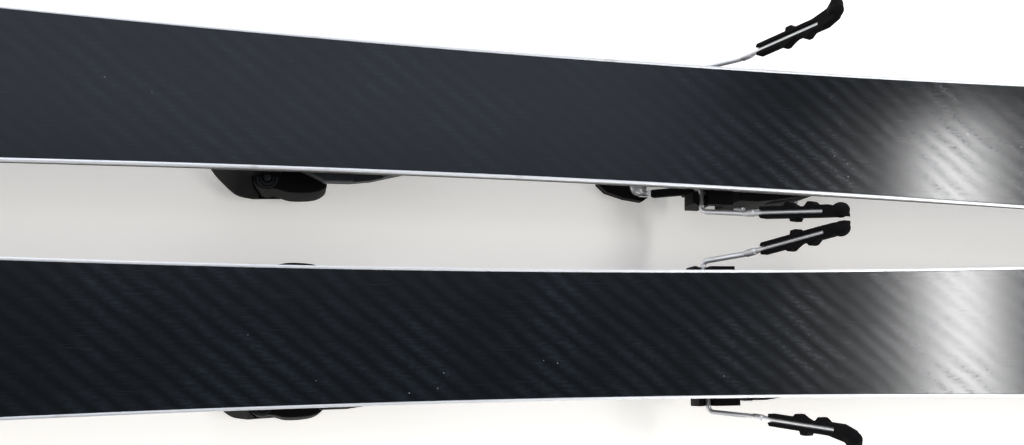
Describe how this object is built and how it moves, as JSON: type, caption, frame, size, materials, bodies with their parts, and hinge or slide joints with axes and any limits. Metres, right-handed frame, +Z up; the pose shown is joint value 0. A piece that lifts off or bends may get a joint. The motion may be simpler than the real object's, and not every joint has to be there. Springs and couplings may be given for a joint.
{
  "type": "pair of skis",
  "caption": "Pair of alpine skis with step-in release bindings and sprung ski brakes, lying base up on the bindings.",
  "frame": {"origin": "on the floor under the middle of the pair's bounding box", "axes": "+X from the tips to the tails, +Y from the right ski to the left, +Z up, out of the running bases"},
  "size_m": [1.7103, 0.3028, 0.1536],
  "materials": {
    "base": "sintered black polyethylene, waxed",
    "steel": "ground steel",
    "sidewall": "grey ABS",
    "wood": "laminated wood",
    "topsheet": "smooth black film",
    "black": "moulded black plastic",
    "grey": "moulded dark grey plastic",
    "chrome": "polished wire",
    "zinc": "zinc-plated steel"
  },
  "bodies": {
    "left_ski": {"left_base_sheet": "base", "left_core": "wood", "left_topsheet": "topsheet", "left_edge_outer": "steel", "left_edge_inner": "steel", "left_sidewall_outer": "sidewall", "left_sidewall_inner": "sidewall", "left_tail_protector": "black", "left_toe_baseplate": "black", "left_toe_housing": "black", "left_toe_spring": "zinc", "left_heel_track": "black"},
    "left_toe_wing_outer_body": {"left_toe_wing_outer": "black"},
    "left_toe_wing_inner_body": {"left_toe_wing_inner": "black"},
    "left_toe_piston_body": {"left_toe_piston": "zinc"},
    "left_toe_screw_body": {"left_toe_release_screw": "zinc"},
    "left_afd_body": {"left_afd_plate": "grey"},
    "left_heel_body": {"left_heel_carriage": "zinc", "left_heel_housing": "black", "left_heel_spring": "zinc", "left_heel_cup_pin": "zinc", "left_brake_base": "black"},
    "left_heel_cup_body": {"left_heel_cup": "black"},
    "left_heel_lever_body": {"left_heel_lever": "grey"},
    "left_heel_screw_body": {"left_heel_release_screw": "zinc"},
    "left_brake_arms": {"left_brake_wire_outer": "chrome", "left_brake_wire_inner": "chrome", "left_brake_pad_outer": "black", "left_brake_pad_inner": "black"},
    "left_brake_pedal_body": {"left_brake_pedal": "black"},
    "right_ski": {"right_base_sheet": "base", "right_core": "wood", "right_topsheet": "topsheet", "right_edge_outer": "steel", "right_edge_inner": "steel", "right_sidewall_outer": "sidewall", "right_sidewall_inner": "sidewall", "right_tail_protector": "black", "right_toe_baseplate": "black", "right_toe_housing": "black", "right_toe_spring": "zinc", "right_heel_track": "black"},
    "right_toe_wing_outer_body": {"right_toe_wing_outer": "black"},
    "right_toe_wing_inner_body": {"right_toe_wing_inner": "black"},
    "right_toe_piston_body": {"right_toe_piston": "zinc"},
    "right_toe_screw_body": {"right_toe_release_screw": "zinc"},
    "right_afd_body": {"right_afd_plate": "grey"},
    "right_heel_body": {"right_heel_carriage": "zinc", "right_heel_housing": "black", "right_heel_spring": "zinc", "right_heel_cup_pin": "zinc", "right_brake_base": "black"},
    "right_heel_cup_body": {"right_heel_cup": "black"},
    "right_heel_lever_body": {"right_heel_lever": "grey"},
    "right_heel_screw_body": {"right_heel_release_screw": "zinc"},
    "right_brake_arms": {"right_brake_wire_outer": "chrome", "right_brake_wire_inner": "chrome", "right_brake_pad_outer": "black", "right_brake_pad_inner": "black"},
    "right_brake_pedal_body": {"right_brake_pedal": "black"}
  },
  "joints": [
    {"name": "left_toe_wing_outer_swing", "type": "hinge", "parent": "left_ski", "child": "left_toe_wing_outer_body", "pos_m": [-0.0866, 0.12059, 0.0115], "axis": [0, 0, 1], "range_deg": [0, 25], "stiffness_Nm_per_rad": 0.8, "springref_deg": -11.46},
    {"name": "left_toe_wing_inner_swing", "type": "hinge", "parent": "left_ski", "child": "left_toe_wing_inner_body", "pos_m": [-0.08786, 0.0342, 0.0115], "axis": [0, 0, -1], "range_deg": [0, 25], "stiffness_Nm_per_rad": 0.8, "springref_deg": -11.46},
    {"name": "left_toe_piston_slide", "type": "slide", "parent": "left_ski", "child": "left_toe_piston_body", "axis": [-0.9999, 0.0145, 0], "range_m": [0, 0.003], "deforming": ["left_toe_spring"]},
    {"name": "left_toe_screw_turn", "type": "hinge", "parent": "left_ski", "child": "left_toe_screw_body", "pos_m": [-0.12723, 0.07798, 0.024], "axis": [0.9999, -0.0145, 0], "continuous": true},
    {"name": "left_afd_slide", "type": "slide", "parent": "left_ski", "child": "left_afd_body", "axis": [0.0145, 0.9999, 0], "range_m": [-0.003, 0.003], "stiffness_N_per_m": 1500},
    {"name": "left_heel_pressure_slide", "type": "slide", "parent": "left_ski", "child": "left_heel_body", "axis": [0.9999, -0.0145, 0], "range_m": [0, 0.012], "stiffness_N_per_m": 8000, "springref_m": -0.004},
    {"name": "left_heel_cup_tilt", "type": "hinge", "parent": "left_heel_body", "child": "left_heel_cup_body", "pos_m": [0.26673, 0.07227, 0.0215], "axis": [-0.0145, -0.9999, 0], "range_deg": [0, 32], "stiffness_Nm_per_rad": 3, "springref_deg": -5.73},
    {"name": "left_heel_lever_press", "type": "hinge", "parent": "left_heel_body", "child": "left_heel_lever_body", "pos_m": [0.31473, 0.07157, 0.012], "axis": [-0.0145, -0.9999, 0], "range_deg": [0, 28]},
    {"name": "left_heel_screw_turn", "type": "hinge", "parent": "left_heel_body", "child": "left_heel_screw_body", "pos_m": [0.32473, 0.07143, 0.0426], "axis": [0.9999, -0.0145, 0], "continuous": true},
    {"name": "left_brake_swing", "type": "hinge", "parent": "left_heel_body", "child": "left_brake_arms", "pos_m": [0.22654, 0.07285, 0.0465], "axis": [0.0145, 0.9999, 0], "range_deg": [0, 55], "stiffness_Nm_per_rad": 2, "springref_deg": -17.19},
    {"name": "left_brake_pedal_tilt", "type": "hinge", "parent": "left_brake_arms", "child": "left_brake_pedal_body", "pos_m": [0.19074, 0.07337, 0.012], "axis": [0.0145, 0.9999, 0], "range_deg": [-55.5, 0]},
    {"name": "right_toe_wing_outer_swing", "type": "hinge", "parent": "right_ski", "child": "right_toe_wing_outer_body", "pos_m": [-0.0866, -0.12059, 0.0115], "axis": [0, 0, -1], "range_deg": [0, 25], "stiffness_Nm_per_rad": 0.8, "springref_deg": -11.46},
    {"name": "right_toe_wing_inner_swing", "type": "hinge", "parent": "right_ski", "child": "right_toe_wing_inner_body", "pos_m": [-0.08786, -0.0342, 0.0115], "axis": [0, 0, 1], "range_deg": [0, 25], "stiffness_Nm_per_rad": 0.8, "springref_deg": -11.46},
    {"name": "right_toe_piston_slide", "type": "slide", "parent": "right_ski", "child": "right_toe_piston_body", "axis": [-0.9999, -0.0145, 0], "range_m": [0, 0.003], "deforming": ["right_toe_spring"]},
    {"name": "right_toe_screw_turn", "type": "hinge", "parent": "right_ski", "child": "right_toe_screw_body", "pos_m": [-0.12723, -0.07798, 0.024], "axis": [0.9999, 0.0145, 0], "continuous": true},
    {"name": "right_afd_slide", "type": "slide", "parent": "right_ski", "child": "right_afd_body", "axis": [-0.0145, 0.9999, 0], "range_m": [-0.003, 0.003], "stiffness_N_per_m": 1500},
    {"name": "right_heel_pressure_slide", "type": "slide", "parent": "right_ski", "child": "right_heel_body", "axis": [0.9999, 0.0145, 0], "range_m": [0, 0.012], "stiffness_N_per_m": 8000, "springref_m": -0.004},
    {"name": "right_heel_cup_tilt", "type": "hinge", "parent": "right_heel_body", "child": "right_heel_cup_body", "pos_m": [0.26673, -0.07227, 0.0215], "axis": [0.0145, -0.9999, 0], "range_deg": [0, 32], "stiffness_Nm_per_rad": 3, "springref_deg": -5.73},
    {"name": "right_heel_lever_press", "type": "hinge", "parent": "right_heel_body", "child": "right_heel_lever_body", "pos_m": [0.31473, -0.07157, 0.012], "axis": [0.0145, -0.9999, 0], "range_deg": [0, 28]},
    {"name": "right_heel_screw_turn", "type": "hinge", "parent": "right_heel_body", "child": "right_heel_screw_body", "pos_m": [0.32473, -0.07143, 0.0426], "axis": [0.9999, 0.0145, 0], "continuous": true},
    {"name": "right_brake_swing", "type": "hinge", "parent": "right_heel_body", "child": "right_brake_arms", "pos_m": [0.22654, -0.07285, 0.0465], "axis": [-0.0145, 0.9999, 0], "range_deg": [0, 55], "stiffness_Nm_per_rad": 2, "springref_deg": -17.19},
    {"name": "right_brake_pedal_tilt", "type": "hinge", "parent": "right_brake_arms", "child": "right_brake_pedal_body", "pos_m": [0.19074, -0.07337, 0.012], "axis": [-0.0145, 0.9999, 0], "range_deg": [-55.5, 0]},
    {"name": "ski_slide", "type": "slide", "parent": "left_ski", "child": "right_ski", "axis": [1, 0, 0], "range_m": [-0.25, 0.25]}
  ],
  "couplings": [
    {"joint": "left_toe_wing_inner_swing", "follows": "left_toe_wing_outer_swing", "ratio": 1},
    {"joint": "left_toe_piston_slide", "follows": "left_toe_wing_outer_swing", "m_per_rad": 0.0068},
    {"joint": "left_heel_lever_press", "follows": "left_heel_cup_tilt", "ratio": 0.87},
    {"joint": "left_brake_pedal_tilt", "follows": "left_brake_swing", "ratio": -1},
    {"joint": "right_toe_wing_inner_swing", "follows": "right_toe_wing_outer_swing", "ratio": 1},
    {"joint": "right_toe_piston_slide", "follows": "right_toe_wing_outer_swing", "m_per_rad": 0.0068},
    {"joint": "right_heel_lever_press", "follows": "right_heel_cup_tilt", "ratio": 0.87},
    {"joint": "right_brake_pedal_tilt", "follows": "right_brake_swing", "ratio": -1}
  ]
}
